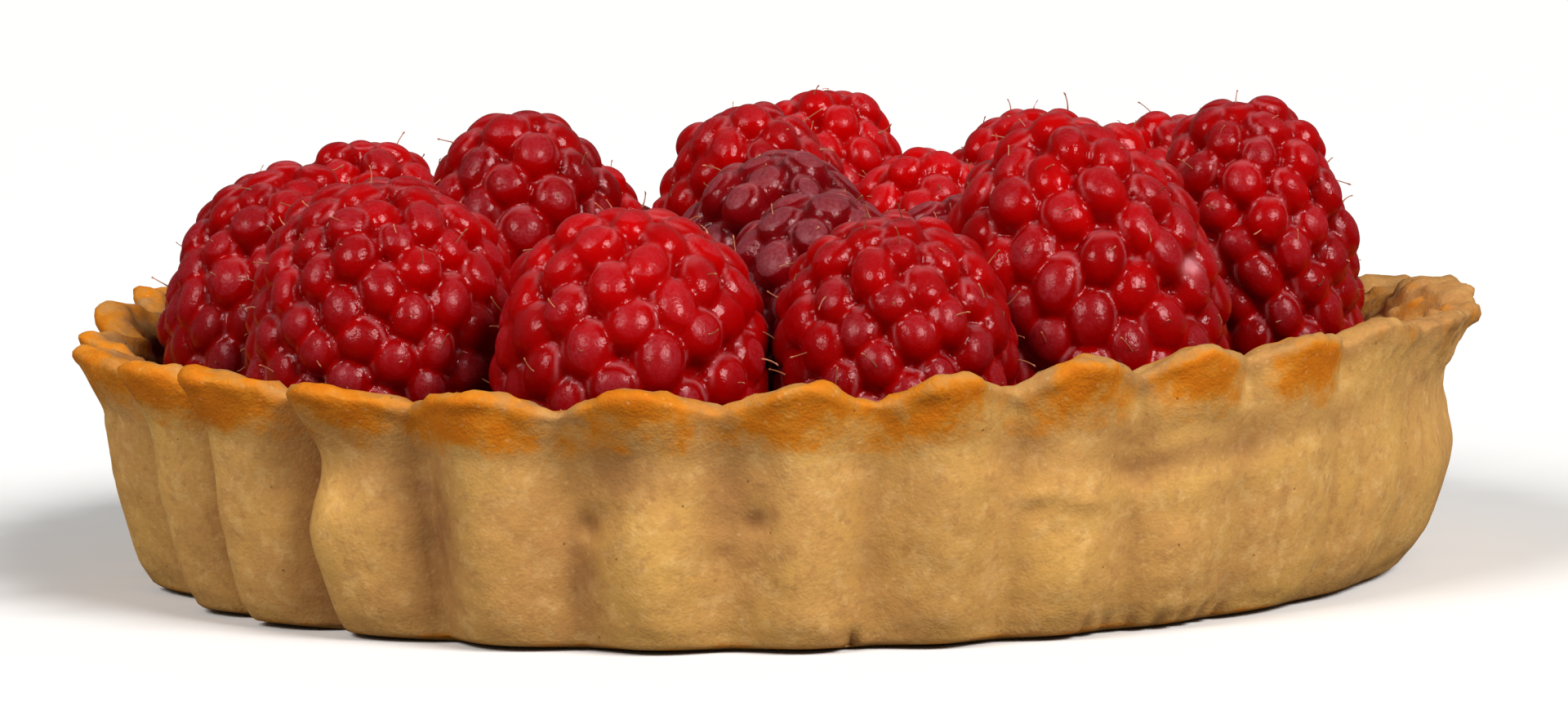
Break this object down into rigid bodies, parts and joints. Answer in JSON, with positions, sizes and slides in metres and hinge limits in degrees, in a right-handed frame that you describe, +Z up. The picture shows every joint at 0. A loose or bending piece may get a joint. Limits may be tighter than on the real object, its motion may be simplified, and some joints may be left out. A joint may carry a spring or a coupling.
{
  "type": "raspberry tartlet",
  "caption": "Round fluted shortcrust tartlet with a dark chocolate filling, topped with whole raspberries standing tip up.",
  "frame": {"origin": "middle of the case's flat underside", "axes": "+Z up through the middle of the tartlet, -Y towards the front, +X to the right seen from the front"},
  "size_m": [0.105, 0.1055, 0.0348],
  "materials": {
    "shortcrust": "matte, sandy, browned at the rim",
    "dark_chocolate": "glossy",
    "ripe_raspberry": "satin with a velvety bloom",
    "dusky_raspberry": "matte with a heavy bloom"
  },
  "bodies": {
    "root": {"pastry_case": "shortcrust", "chocolate_filling": "dark_chocolate", "raspberry_01": "ripe_raspberry", "raspberry_02": "ripe_raspberry", "raspberry_03": "ripe_raspberry", "raspberry_04": "ripe_raspberry", "raspberry_05": "ripe_raspberry", "raspberry_06": "ripe_raspberry", "raspberry_07": "ripe_raspberry", "raspberry_08": "dusky_raspberry", "raspberry_09": "dusky_raspberry", "raspberry_10": "dusky_raspberry", "raspberry_11": "ripe_raspberry", "raspberry_12": "dusky_raspberry", "raspberry_13": "ripe_raspberry", "raspberry_14": "ripe_raspberry", "raspberry_15": "ripe_raspberry", "raspberry_16": "ripe_raspberry", "raspberry_17": "ripe_raspberry", "raspberry_18": "ripe_raspberry", "raspberry_19": "ripe_raspberry", "raspberry_20": "ripe_raspberry", "raspberry_21": "ripe_raspberry"}
  },
  "joints": []
}
